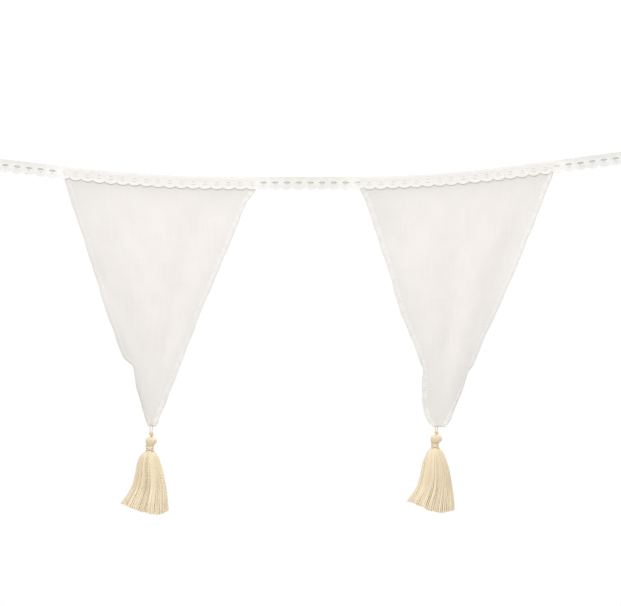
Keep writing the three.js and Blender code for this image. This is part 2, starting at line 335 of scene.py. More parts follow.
def silkyYarn():
    material, tree, shader = newMaterial("silky yarn")
    look = yarnFinish
    carried = ("tint", "along", "around", "loose")
    tint, along, around, loose = (attributeNode(tree, name)["Fac"] for name in carried)
    place = addNode(tree, "ShaderNodeTexCoord").outputs["Object"]
    cloud = noiseNode(tree, place, look["cloudScale"], 3.0, 0.6)
    twist = mathNode(tree, "ADD", mathNode(tree, "DIVIDE", along, look["plyPitch"]),
                     mathNode(tree, "MULTIPLY", around, 2.0))
    ply = mathNode(tree, "SINE", mathNode(tree, "MULTIPLY", twist, 2 * math.pi))
    tone = mathNode(tree, "ADD", mathNode(tree, "MULTIPLY", tint, look["tintShare"]),
                    mathNode(tree, "MULTIPLY", cloud, look["cloudShare"]))
    # painted light: the strands lightened towards their loose ends, against the shade where they spread apart
    tone = mathNode(tree, "ADD", tone, rampNode(tree, loose, 0.5, 0.92, 0.0, look["endPaintedLight"]))
    color = mixColor(tree, rampNode(tree, tone, 0.3, 0.9, 0.0, 1.0), look["mid"], look["light"])
    # low tints turn to the deep colour; the ply wave adds painted shade in the grooves between the plies; the
    # last part darkens the very ends of the strands
    darkening = mathNode(tree, "MAXIMUM", rampNode(tree, tint, 0.0, 0.25, look["darkTint"], 0.0),
                    rampNode(tree, ply, -1.0, 0.1, look["plyShade"], 0.0))
    darkening = mathNode(tree, "MAXIMUM", darkening, rampNode(tree, loose, 0.96, 1.0, 0.0, look["endDull"]))
    plug(tree, mixColor(tree, darkening, color, look["deep"]), shader.inputs["Base Color"])
    plug(tree, rampNode(tree, cloud, 0.3, 0.7, look["roughness"], look["roughest"]), shader.inputs["Roughness"])
    plug(tree, bumpNode(tree, ply, look["bump"], look["bumpDepth"]), shader.inputs["Normal"])
    setSheen(shader, look)
    return material


flagFinish = flagCotton()
laceFinish = cottonThread("lace cotton", threadFinish, True)
seamFinish = cottonThread("sewing thread", threadFinish, False)
tasselFinish = silkyYarn()
print("finishes ready")


# Lace tape: one motif of threads, repeated along the hanging line, sizes in mm unless they say mm

lace = {
    "motifs": 59, "width": 12.9, "scallop": 2.2, "plane": -0.6 * mm, "lift": 0.13, "flatness": 0.3,
    "topRope": {"turns": 5, "spread": 0.2, "radius": 0.28, "steps": 18}, "topDrop": 0.5,
    "headingWarps": 4, "headingTop": 1.2, "headingEnd": 3.8, "warpRadius": 0.18,
    "headingWefts": 16, "weftTop": 0.6, "weftPast": 0.35, "weftRadius": 0.37,
    "legs": 15, "legLean": 0.22, "legLift": 0.06, "legGap": 0.1, "legRadius": 0.37,
    "eyeletRope": {"turns": 4, "spread": 0.15, "radius": 0.27, "steps": 12},
    "eyeletDrop": 6.1, "eyeletHalf": 3.2, "eyeletRise": 0.62, "pinRise": 0.42, "rimFade": 0.3,
    "arcs": (0.27, 0.43, 0.62, 0.81), "arcRadius": (0.3, 0.3, 0.18, 0.18), "arcPoints": 13, "arcLift": 0.1,
    "fanThreads": 13, "fanEnd": 0.95, "fanRadius": 0.44, "barRadius": 0.36, "slitHalf": 2.6, "slitShade": 0.5,
    "edgeRope": {"turns": 4, "spread": 0.2, "radius": 0.29, "steps": 16}, "edgeShare": 0.97,
    "unevenness": 0.22 * mm, "seed": 7,
    "endFlap": 14 * mm, "endThreads": 16, "endTop": 0.6, "endLow": 0.8, "endInset": 0.3, "endRadius": 0.34,
    "endSides": 5, "endSeam": 10.5,
}


def laceMotif(pitch):
    half = pitch / 2
    threads = []

    def lay(x, drop, lift, radius, shade=0.0):
        x, drop, lift = np.broadcast_arrays(x, drop, lift)
        points = np.column_stack([x, -drop, lift]) * mm
        threads.append({"points": points, "threadRadius": radius * mm, "shade": shade})

    def evenly(count):        # places across the motif
        return ((np.arange(count) + 0.5) / count - 0.5) * pitch

    def rope(line, make, shade=None):        # two threads twisted together
        x = np.linspace(-half, half, make["steps"] + 1)
        for phase in (0, math.pi):
            angle = 2 * math.pi * make["turns"] * x / pitch + phase
            drop = line(x) + make["spread"] * np.cos(angle)
            lay(x, drop, make["spread"] * np.sin(angle), make["radius"], shade(x) if shade else 0.0)

    def legs(upper, lower):        # short threads that lean to and fro
        for n, x in enumerate(evenly(lace["legs"])):
            lean = lace["legLean"] * (-1) ** n
            ends = np.clip(np.array([x - lean, x + lean]), -half, half)
            drop = np.array([upper(ends)[0], lower(ends)[1]])
            lay(ends, drop, lace["legLift"] * (-1) ** n, lace["legRadius"])

    def rim(x):        # half height of the eyelet, then of the pinhole beside it
        out = np.abs(x)
        eyelet = lace["eyeletRise"] * (1 - (out / lace["eyeletHalf"]) ** 2)
        turn = (out - lace["eyeletHalf"]) / (half - lace["eyeletHalf"])
        pin = lace["pinRise"] * np.sin(np.clip(turn, 0, 1) * math.pi / 2) ** 2
        return np.where(out < lace["eyeletHalf"], eyelet, pin)

    def eyeletShade(x):
        return np.clip(1 - (x / lace["eyeletHalf"]) ** 2, 0, 1) ** lace["rimFade"]

    def above(x):
        return lace["eyeletDrop"] - rim(x)

    def below(x):
        return lace["eyeletDrop"] + rim(x)

    def straight(drop):
        return lambda x: drop + 0 * x

    def level(share):        # a line between the eyelets and the scalloped edge
        def line(x):
            edge = lace["width"] - lace["scallop"] * (x / half) ** 2
            return below(x) + share * (edge - below(x))
        return line

    warps = np.linspace(lace["headingTop"], lace["headingEnd"], lace["headingWarps"])
    rope(straight(lace["topDrop"]), lace["topRope"])
    for drop in warps:
        lay(np.array([-half, half]), drop, 0.0, lace["warpRadius"])
    for j, x in enumerate(evenly(lace["headingWefts"])):
        over = -lace["lift"] * (-1.0) ** (np.arange(len(warps)) + j)
        drop = np.r_[lace["weftTop"], warps, lace["headingEnd"] + lace["weftPast"]]
        lay(x, drop, np.r_[0, over, 0], lace["weftRadius"])
    legs(straight(lace["headingEnd"] + lace["legGap"]), above)
    rope(above, lace["eyeletRope"], eyeletShade)
    rope(below, lace["eyeletRope"], eyeletShade)
    legs(below, level(lace["arcs"][0]))
    for k, (share, radius) in enumerate(zip(lace["arcs"], lace["arcRadius"])):
        x = np.linspace(-half, half, lace["arcPoints"])
        dim = lace["slitShade"] * (k < 2) * np.clip(1 - (x / lace["slitHalf"]) ** 2, 0, 1)
        lay(x, level(share)(x), lace["arcLift"] * (-1.0) ** (np.arange(lace["arcPoints"]) + k), radius, dim)
    shares = np.array([*lace["arcs"][1:], lace["fanEnd"]])
    for n, x in enumerate(evenly(lace["fanThreads"])):
        drop = np.array([level(share)(x) for share in shares])
        lay(x, drop, lace["arcLift"] * (-1.0) ** (np.arange(len(shares)) + n + 1), lace["fanRadius"])
        if abs(x) > lace["slitHalf"]:
            bar = np.array([level(share)(x) for share in lace["arcs"][:2]])
            lay(x, bar, 0.0, lace["barRadius"])
    rope(level(lace["edgeShare"]), lace["edgeRope"])
    return threads


def laceTree():
    tree, given = geometryTree("lace tape", {"Motif": "Object", "Unevenness": "Float",
                                             "Seed": "Int", "Thread": "Material"})
    motif = addNode(tree, "GeometryNodeObjectInfo", {"Object": given["Motif"]})
    curve = addNode(tree, "GeometryNodeMeshToCurve", {0: motif.outputs["Geometry"]})
    swept = sweepThreads(tree, curve.outputs[0], 4, lace["flatness"])
    upright = addNode(tree, "GeometryNodeTransform",
                      {"Geometry": swept, "Rotation": (math.pi / 2, 0, 0)})
    tilt = addNode(tree, "ShaderNodeCombineXYZ", {1: namedValue(tree, "tilt")})
    row = addNode(tree, "GeometryNodeInstanceOnPoints",
                  {"Points": given["Geometry"], "Instance": upright.outputs[0], "Rotation": tilt.outputs[0]})
    real = addNode(tree, "GeometryNodeRealizeInstances", {0: row.outputs[0]})
    shift = addNode(tree, "ShaderNodeTexNoise", {"Scale": 160.0, "Detail": 1.0, "W": given["Seed"]},
                    noise_dimensions="4D")
    centred = addNode(tree, "ShaderNodeVectorMath", {0: shift.outputs["Color"], 1: (0.5, 0.5, 0.5)},
                      operation="SUBTRACT")
    uneven = addNode(tree, "ShaderNodeVectorMath", {0: centred.outputs[0], "Scale": given["Unevenness"]},
                     operation="SCALE")
    moved = addNode(tree, "GeometryNodeSetPosition", {"Geometry": real.outputs[0], "Offset": uneven.outputs[0]})
    closeTree(tree, moved.outputs[0], given["Thread"])
    return tree


# How far a place on the tape lies past the nearest flag's corner, less than nothing over a flag
def pastFlag(x):
    gaps = []
    for flag in flags.values():
        low, high = flag["middle"] + flag["rows"]["left"][0], flag["middle"] + flag["rows"]["right"][0]
        gaps.append(max(low - x, x - high))
    return min(gaps)


def makeLaceTape():
    low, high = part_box("lace_tape")
    pitch = (high.x - low.x) / lace["motifs"]
    motif = threadObject("lace motif", laceMotif(pitch / mm))
    centres = low.x + pitch * (np.arange(lace["motifs"]) + 0.5)
    centres = np.r_[centres, centres[0], centres[-1]]        # the turned-back ends lie behind
    planes = np.full(len(centres), lace["plane"])
    planes[-2:] = high.y + lace["plane"]
    step = pitch / 4
    tilts = -np.arctan2(topEdge(centres + step) - topEdge(centres - step), 2 * step)
    mesh = bpy.data.meshes.new("lace places")
    mesh.from_pydata(list(zip(centres, planes, topEdge(centres))), [], [])
    addAttribute(mesh, "tilt", tilts)
    addAttribute(mesh, "pastFlag", [pastFlag(x / mm) * mm / pitch for x in centres])
    piece = growPiece("lace_tape_threads", meshObject("lace places", mesh), laceTree(),
                      {"Motif": motif, "Unevenness": lace["unevenness"], "Seed": lace["seed"],
                       "Thread": laceFinish})
    bpy.data.objects.remove(motif)
    return piece, (lace["width"] * mm, high.x - low.x + 2 * lace["endFlap"])


# Threads that turn round each end of the tape, from its front to the flap behind
def makeTapeEnds():
    low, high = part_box("lace_tape")
    turn = np.linspace(-math.pi / 2, math.pi / 2, 7)
    last = lace["width"] - lace["scallop"] - lace["endLow"]
    threads = []
    for end, way in ((low.x, -1), (high.x, 1)):
        for drop in np.linspace(lace["endTop"], last, lace["endThreads"]) * mm:
            bow = lace["plane"] * np.column_stack([-way * np.cos(turn), -np.sin(turn), 0 * turn])
            threads.append({"points": bow + (end - way * lace["endInset"] * mm, 0, topEdge(end) - drop),
                            "threadRadius": lace["endRadius"] * mm, "tint": 0.0, "loose": 0.0})
    return growYarn("tape_end_folds", threads, lace["endSides"], 0.0, laceFinish)


# Flags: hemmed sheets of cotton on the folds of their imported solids, sizes in mm

flagCloth = {
    "thickness": 0.45, "backOfTape": 0.15, "sway": 7.8, "swayPower": 2.6, "rollRadius": 1.7,
    "topLean": 1.5, "leanFrom": 10, "leanOver": 14.0, "foldShare": 0.75,
    "hem": 5.8, "hemLimit": 0.42, "hemGap": 0.95, "hemRise": 0.16, "hemSlope": 2,
    "hemFade": 0.8, "hemMargin": 1.15,
    "stitchAt": 4.5, "stitchSink": 0.2, "stitchHalf": 0.7, "seamShadeHalf": 0.55,
    "pucker": 0.25, "puckerWaves": (0.8, 0.27),
    "rowStep": 1.6, "faceColumns": 64, "hemColumns": 14, "flapColumns": 7, "turnColumns": 4,
    "measureRows": 400, "soften": 1.6, "edgeWobble": 0.35, "wobbleWaves": (0.21, 0.067),
    "ripple": 0.3, "ripples": ((0.11, 0.4), (0.19, 1.9), (0.31, 3.1)), "rippleSlope": 0.6,
    "rippleFrom": 14, "rippleOver": 20,
}

# Painted shade on the flags: how strongly the cloth is greyed under the tape, at the tip and along the left
# side
paintedShadeMark = {"underTape": 0.95, "tapeEnd": 13, "tapeFade": 9, "tip": 0.6, "tipFrom": 170, "tipOver": 80,
            "leftSide": 0.8, "sideFade": 14}

flags = {
    "left": {
        "middle": -153.5, "seed": 3, "hemShows": (0.25, 1.0),
        "rows": {
            "down": (2, 14, 26, 60, 100, 140, 183.5, 192.5, 210, 230, 246, 250, 251.8, 252.7),
            "left": (-94.5, -92, -88.5, -76.5, -63.5, -51, -35.2, -24.2, -22, -16.5, -12, -11.2, -10.2, -8.4),
            "right": (100, 98.5, 89, 75.5, 59, 42.2, 25.8, 22.2, 15.6, 8, 1, 0, -1, -2.8),
            "rollLeft": (0, 0, 0, 0, 0, 0, 0, 9, 8.5, 7, 3, 1.5, 0.5, 0),
            "rollRight": (0, 0, 0, 0, 0, 0, 0, 0, 0, 0, 0, 0, 0, 0),
            "curl": (0, 0, 0.5, 2, 3, 4, 4.5, 4, 3.5, 2.5, 1, 0.4, 0.1, 0),
        },
        "folds": (
            {"across": 0.14, "width": 0.1, "depth": 3, "start": 16, "end": 170},
            {"across": 0.03, "width": 0.08, "depth": 2.2, "start": 80, "end": 150},
            {"across": 0.42, "width": 0.17, "depth": -3.6, "start": 16, "end": 250},
            {"across": 0.7, "width": 0.09, "depth": 2.4, "start": 20, "end": 236},
            {"across": 0.9, "width": 0.1, "depth": -1.8, "start": 16, "end": 190},
        ),
    },
    "right": {
        "middle": 145.5, "seed": 11, "hemShows": (0.7, 0.9),
        "rows": {
            "down": (2, 14, 26, 60, 100, 140, 170, 188, 195, 200, 214, 230, 242, 248, 252, 254.4, 255.8),
            "left": (-98.5, -96, -89.5, -79, -66, -55, -42.4, -36.5, -33, -32.4, -33.6, -33.5, -31.4, -29, -26,
                     -23.2, -20.6),
            "right": (100, 96.5, 91.5, 77.4, 60.4, 42.4, 27.9, 20.8, 17.8, 12.8, 8.8, 2.4, -2.6, -4.3, -6.4,
                      -8.8, -11.5),
            "rollLeft": (0, 0, 0, 0, 0, 0, 0, 1, 4, 3, 1, 0.5, 0, 0, 0, 0, 0),
            "rollRight": (0, 0, 0, 0, 0, 0, 0, 0, 1, 5, 4, 3, 1.5, 0, 0, 0, 0),
            "curl": (0, 0, 0.5, 2, 3, 4, 4.5, 4.5, 4, 4, 3.5, 2.5, 1, 0.5, 0.2, 0, 0),
        },
        "folds": (
            {"across": 0.1, "width": 0.08, "depth": 2.8, "start": 28, "end": 96},
            {"across": 0.3, "width": 0.15, "depth": -3.2, "start": 16, "end": 240},
            {"across": 0.55, "width": 0.1, "depth": 2.2, "start": 24, "end": 246},
            {"across": 0.74, "width": 0.1, "depth": -2.4, "start": 16, "end": 228},
            {"across": 0.93, "width": 0.08, "depth": 2, "start": 18, "end": 150},
        ),
    },
}


# A column of a row table read at any depth, with its corners softened over a few millimetres
def softRead(rows, column, down, soften):
    total = 0
    for offset, weight in ((-1, 0.25), (0, 0.5), (1, 0.25)):
        total = total + weight * np.interp(down + offset * soften, rows["down"], rows[column])
    return total


def rowValue(flag, column, down):
    return softRead(flag["rows"], column, down, flagCloth["soften"])


def rollReach(width):
    radius = flagCloth["rollRadius"]
    return radius * np.sin(np.minimum(width / radius, math.pi / 2))


def cutEdges(flag, down):
    rollLeft, rollRight = rowValue(flag, "rollLeft", down), rowValue(flag, "rollRight", down)
    quick, slow = flagCloth["wobbleWaves"]
    wobble = flagCloth["edgeWobble"] * np.sin(down * quick + flag["seed"]) * np.sin(down * slow)
    faceLeft = rowValue(flag, "left", down) + rollReach(rollLeft) + wobble
    faceRight = rowValue(flag, "right", down) - rollReach(rollRight) + wobble
    return rollLeft, faceLeft, faceRight, rollRight


def cutWidth(flag, down):
    rollLeft, faceLeft, faceRight, rollRight = cutEdges(flag, down)
    return rollLeft + faceRight - faceLeft + rollRight


# Depth of the cloth at a place on it: sway, curl, main folds and small ripples
def flagDepth(flag, down, x):
    rows = flag["rows"]
    height = rows["down"][-1]
    drop = down / height
    left = rows["left"][0] + (rows["left"][-1] - rows["left"][0]) * drop
    right = rows["right"][0] + (rows["right"][-1] - rows["right"][0]) * drop
    share = (x - left) / (right - left)
    depth = flagCloth["backOfTape"] + flagCloth["sway"] * np.maximum(drop, 0) ** flagCloth["swayPower"]
    leaning = np.maximum(down - flagCloth["leanFrom"], 0) / flagCloth["leanOver"]
    depth = depth + flagCloth["topLean"] * (1 - np.exp(-leaning))
    depth = depth + rowValue(flag, "curl", down) * np.abs(2 * share - 1) ** 3
    for fold in flag["folds"]:
        along = np.clip((down - fold["start"]) / (fold["end"] - fold["start"]), 0, 1)
        across = np.exp(-((share - fold["across"]) / fold["width"]) ** 2)
        depth = depth + flagCloth["foldShare"] * fold["depth"] * np.sin(math.pi * along) ** 2 * across
    free = np.clip((down - flagCloth["rippleFrom"]) / flagCloth["rippleOver"], 0, 1)
    widest = flagCloth["ripples"][0][0]
    for scale, turn in flagCloth["ripples"]:
        fall = np.sin(down * scale * flagCloth["rippleSlope"] + turn)
        wave = np.sin(x * scale + flag["seed"] * turn) * fall
        depth = depth + free * flagCloth["ripple"] * wave * widest / scale
    return depth


# A point of the cloth's middle layer, from how far down and how far along the cut row it lies
def clothPoint(flag, down, along):
    height = flag["rows"]["down"][-1]
    rollLeft, faceLeft, faceRight, rollRight = cutEdges(flag, down)
    place = along - rollLeft
    onFace = np.clip(place, 0, faceRight - faceLeft)
    past = np.abs(place - onFace)
    radius = flagCloth["rollRadius"]
    angle = np.minimum(past / radius, math.pi)
    back = radius * (1 - np.cos(angle))
    out = radius * np.sin(angle) - np.maximum(past - math.pi * radius, 0)
    x = faceLeft + onFace + np.sign(place - onFace) * out
    middle = flag["middle"]
    rise = topEdge((x + middle) * mm) / mm - topEdge(middle * mm) / mm
    z = topEdge(middle * mm) / mm + rise * (1 - down / height) - down
    return np.stack([x + middle, flagDepth(flag, down, x) + back, z], axis=-1)


# Middle layer pushed back by an offset, along the cloth's own normal
def clothAt(flag, down, along, offset):
    step = 0.25
    across = clothPoint(flag, down, along + step) - clothPoint(flag, down, along - step)
    drop = clothPoint(flag, down + step, along) - clothPoint(flag, down - step, along)
    normal = np.cross(across, drop)
    normal /= np.linalg.norm(normal, axis=-1, keepdims=True)
    return clothPoint(flag, down, along) + normal * offset[..., None], normal


def hemWidth(flag, down):
    return np.minimum(flagCloth["hem"], flagCloth["hemLimit"] * cutWidth(flag, down))


# How far in from the edge the stitching of a hem of this width lies
def seamPlace(hem):
    return hem * flagCloth["stitchAt"] / flagCloth["hem"]


# The face dips along the stitching and stands a little proud over the hem
def faceOffset(flag, down, along):
    width = cutWidth(flag, down)
    hem = hemWidth(flag, down)
    edge = np.minimum(along, width - along)
    quick, slow = flagCloth["puckerWaves"]
    pucker = flagCloth["pucker"] * np.sin(down * quick + flag["seed"]) * np.sin(down * slow)
    sink = flagCloth["stitchSink"] * (1 - flagCloth["pucker"] + pucker)
    sink = sink * np.exp(-((edge - seamPlace(hem)) / flagCloth["stitchHalf"]) ** 2)
    proud = flagCloth["hemRise"] * np.clip((hem - edge) / flagCloth["hemSlope"], 0, 1)
    return sink - proud


# Painted shade, where the cloth is greyed: under the tape, towards the tip and along the left side
def paintedShadeShare(down, along, shows):
    top = paintedShadeMark["underTape"] * np.exp(-np.maximum(down - paintedShadeMark["tapeEnd"], 0) / paintedShadeMark["tapeFade"])
    tip = paintedShadeMark["tip"] * np.clip((down - paintedShadeMark["tipFrom"]) / paintedShadeMark["tipOver"], 0, 1)
    side = paintedShadeMark["leftSide"] * np.exp(-along / paintedShadeMark["sideFade"]) * (shows > 0)
    return np.clip(top + tip + side, 0, 1)


# The cut sheet as rows of points, round both hems, with its flat places and its marks
def flagGrid(flag):
    rows = flag["rows"]["down"]
    count = int((rows[-1] - rows[0]) / flagCloth["rowStep"])
    down = np.linspace(rows[0], rows[-1], count + 1)[:, None]
    width, hem = cutWidth(flag, down), hemWidth(flag, down)
    gap = flagCloth["hemGap"]
    turn = np.linspace(0, math.pi, flagCloth["turnColumns"] + 2)[1:-1]
    flap = np.linspace(0, 1, flagCloth["flapColumns"])
    near = np.linspace(0, 1, flagCloth["hemColumns"])
    inner = np.linspace(0, 1, flagCloth["faceColumns"] + 2)[1:-1]
    start = gap / 2
    edgeHem = hem * flagCloth["hemMargin"]
    flapLeft = hem + (start - hem) * flap
    turnLeft = start - start * np.sin(turn) + 0 * down
    hemLeft = start + (edgeHem - start) * near
    face = edgeHem + (width - 2 * edgeHem) * inner
    halfAlong = np.concatenate([flapLeft, turnLeft, hemLeft], axis=1)
    along = np.concatenate([halfAlong, face, (width - halfAlong)[:, ::-1]], axis=1)
    halfOffset = np.r_[np.full(len(flap), gap), gap / 2 + gap / 2 * np.cos(turn), np.zeros(len(near))]
    onFace = np.r_[np.zeros(len(flap) + len(turn)), np.ones(len(near))]
    layer = np.r_[halfOffset, np.zeros(len(inner)), halfOffset[::-1]]
    shows = np.r_[onFace, np.ones(len(inner)), onFace[::-1]]
    down = np.broadcast_to(down, along.shape)
    offset = layer + shows * faceOffset(flag, down, along)
    points, _ = clothAt(flag, down, along, offset)
    edge = np.minimum(along, width - along)
    leftHalf = np.arange(along.shape[1]) < along.shape[1] / 2
    doubled = np.clip((hem - edge) / flagCloth["hemFade"], 0, 1) * np.where(leftHalf, *flag["hemShows"])
    # painted shadow along the seam's groove, where the face dips at the stitching
    seamShadeLine = np.exp(-((edge - seamPlace(hem)) / flagCloth["seamShadeHalf"]) ** 2)
    # place on the flat cut, round the hems, so that the weave runs straight down the flag
    wrapped = np.where(shows > 0, along, np.where(leftHalf, -along, 2 * width - along))
    rollLeft, faceLeft = cutEdges(flag, down)[:2]
    flat = np.stack([wrapped + faceLeft - rollLeft, down], axis=-1)
    return points, flat, {"doubled": doubled, "seamShadeLine": seamShadeLine, "paintedShade": paintedShadeShare(down, along, shows)}


def sheetMesh(name, points, flat, marks, thickness):
    rows, columns = points.shape[:2]
    index = np.arange(rows * columns).reshape(rows, columns)
    corners = np.stack([index[:-1, :-1], index[1:, :-1], index[1:, 1:], index[:-1, 1:]], axis=-1)
    mesh = bpy.data.meshes.new(name)
    mesh.from_pydata((points.reshape(-1, 3) * mm).tolist(), [], corners.reshape(-1, 4).tolist())
    for mark, values in marks.items():
        addAttribute(mesh, mark, values)
    layer = mesh.uv_layers.new(name="cloth")
    vertexOf = np.empty(len(mesh.loops), dtype=np.int32)
    mesh.loops.foreach_get("vertex_index", vertexOf)
    layer.data.foreach_set("uv", (flat.reshape(-1, 2)[vertexOf] * mm).astype(np.float32).ravel())
    mesh.polygons.foreach_set("use_smooth", [True] * len(mesh.polygons))
    mesh.materials.append(flagFinish)
    piece = meshObject(name, mesh)
    wall = piece.modifiers.new("cloth thickness", "SOLIDIFY")
    wall.thickness = thickness * mm
    wall.offset = 0
    graph = bpy.context.evaluated_depsgraph_get()
    thick = bpy.data.meshes.new_from_object(piece.evaluated_get(graph))
    piece.modifiers.remove(wall)
    piece.data = thick
    bpy.data.meshes.remove(mesh)
    thick.name = name
    return piece


def makeFlag(side):
    flag = flags[side]
    points, flat, marks = flagGrid(flag)
    piece = sheetMesh("flag_" + side + "_cloth", points, flat, marks, flagCloth["thickness"])
    rows = flag["rows"]["down"]
    downs = np.linspace(rows[0], rows[-1], flagCloth["measureRows"])
    cut = cutWidth(flag, downs) + 2 * hemWidth(flag, downs)
    area = float(np.sum((cut[1:] + cut[:-1]) / 2 * np.diff(downs))) * mm * mm
    flatSize = (float(cut.max()) * mm, float(rows[-1] - rows[0]) * mm)
    print("  made", piece.name, "flat", flatSize, "area", area)
    return piece, flatSize, area


# Stitches: small thread humps set along a path on the cloth, sizes in mm

stitching = {
    "length": 2.2, "pitch": 2.9, "thread": 0.42, "height": 0.3, "sizeRange": (0.9, 1.12),
    "topDown": 17, "tipGap": 4, "tapeDrop": 2.45, "tapeRow": 6.0, "cornerGap": 3, "proud": 0.42,
    "backDrop": 1.2,
    "endTop": 0.8, "endLow": 3,
}


def stitchTree():
    tree, given = geometryTree("stitches", {"Pitch": "Float", "Length": "Float", "Width": "Float",
                                            "Height": "Float", "Seed": "Int", "Thread": "Material"})
    curve = addNode(tree, "GeometryNodeMeshToCurve", {0: given["Geometry"]})
    dots = addNode(tree, "GeometryNodeCurveToPoints",
                   {"Curve": curve.outputs[0], "Length": given["Pitch"]}, mode="LENGTH")
    size = addNode(tree, "ShaderNodeCombineXYZ", {0: given["Length"], 1: given["Width"], 2: given["Height"]})
    hump = addNode(tree, "GeometryNodeMeshUVSphere", {"Segments": 6, "Rings": 5, "Radius": 0.5})
    upright = addNode(tree, "GeometryNodeTransform",
                      {"Geometry": hump.outputs[0], "Rotation": (0, math.pi / 2, 0)})
    stitch = addNode(tree, "GeometryNodeTransform", {"Geometry": upright.outputs[0], "Scale": size.outputs[0]})
    forward = addNode(tree, "FunctionNodeAlignRotationToVector", {"Vector": dots.outputs["Tangent"]}, axis="X")
    outward = addNode(tree, "FunctionNodeAlignRotationToVector",
                      {"Rotation": forward.outputs[0], "Vector": namedValue(tree, "facing", "FLOAT_VECTOR")},
                      axis="Z", pivot_axis="X")
    least, most = stitching["sizeRange"]
    grow = addNode(tree, "FunctionNodeRandomValue",
                   {2: least, 3: most, "Seed": given["Seed"]}, data_type="FLOAT")
    row = addNode(tree, "GeometryNodeInstanceOnPoints",
                  {"Points": dots.outputs["Points"], "Instance": stitch.outputs[0],
                   "Rotation": outward.outputs[0], "Scale": grow.outputs[1]})
    closeTree(tree, row.outputs[0], given["Thread"])
    return tree


def stitchPath(flag, down, along, offset, outwards):
    points, normal = clothAt(flag, down, along, offset)
    return {"points": points * mm, "facing": normal * outwards}


def growStitches(name, paths, seed):
    return growPiece(name, threadObject("seam paths", paths), stitchTree(),
                     {"Pitch": stitching["pitch"] * mm, "Length": stitching["length"] * mm,
                      "Width": stitching["thread"] * mm, "Height": stitching["height"] * mm,
                      "Seed": seed, "Thread": seamFinish})


# Hem seams show on the face and on the turned-back hem; the tape's seam on the lace and the flag's back
def makeStitches(side):
    flag = flags[side]
    rows = flag["rows"]["down"]
    half = flagCloth["thickness"] / 2
    down = np.arange(stitching["topDown"], rows[-1] - stitching["tipGap"], 1.0)
    seam = seamPlace(hemWidth(flag, down))
    paths = []
    for along in (seam, cutWidth(flag, down) - seam):
        front = faceOffset(flag, down, along) - half
        back = np.full(len(down), flagCloth["hemGap"] + half)
        paths.append(stitchPath(flag, down, along, front, -1))
        paths.append(stitchPath(flag, down, along, back, 1))
    low, high = cutEdges(flag, np.array([stitching["tapeRow"]]))[1:3]
    x = np.arange(low[0] + stitching["cornerGap"], high[0] - stitching["cornerGap"], 1.0) + flag["middle"]
    z = topEdge(x * mm) / mm - stitching["tapeDrop"]
    onLace = (lace["plane"] / mm - stitching["proud"], z, -1)
    # The back row lies below the flag's own top edge
    onBack = (flagCloth["backOfTape"] + half, z - stitching["backDrop"], 1)
    for y, height, outwards in (onLace, onBack):
        points = np.column_stack([x, np.full(len(x), y), height])
        facing = np.tile((0.0, outwards, 0.0), (len(x), 1))
        paths.append({"points": points * mm, "facing": facing})
    return growStitches("seams_" + side, paths, flag["seed"])


# One short row of stitches across each turned-back end of the tape, in front and behind
def makeEndStitches():
    low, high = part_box("lace_tape")
    drop = np.arange(stitching["endTop"], lace["width"] - stitching["endLow"], 1.0)
    paths = []
    for x in (low.x / mm + lace["endSeam"], high.x / mm - lace["endSeam"]):
        for outwards in (-1, 1):
            y = outwards * (abs(lace["plane"] / mm) + stitching["proud"])
            height = topEdge(x * mm) / mm - drop
            points = np.column_stack([np.full(len(drop), x), np.full(len(drop), y), height])
            facing = np.tile((0.0, outwards, 0.0), (len(drop), 1))
            paths.append({"points": points * mm, "facing": facing})
    return growStitches("seams_tape_ends", paths, lace["seed"])


# Tassels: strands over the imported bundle's sections, sizes in mm from the flag's tip

yarn = {
    "strands": 860, "overHead": 200, "outerShare": 0.74, "locks": 26, "sides": 5,
    "outerLayer": (0.88, 1.0), "innerLayer": (0.03, 0.74), "turnJitter": 0.006,
    "headPoints": 16, "skirtPoints": 14, "skirtPower": 1.5, "neckTuck": 1.5,
    "soften": 0.7, "skirtSoften": 5.0, "skirtStart": 32, "softenOver": 14,
    "radius": 0.31, "innerRadius": 0.42, "radiusRange": (0.85, 1.15), "pinch": 0.75, "pinchOver": 22,
    "waviness": 0.35 * mm, "lockLean": 0.012, "strandLean": 0.02, "endShort": 0.25, "endSpread": 0.4,
    "lockTints": (0.42, 0.82), "lockShare": 0.6, "darkest": 0.26, "seed": 5,
}

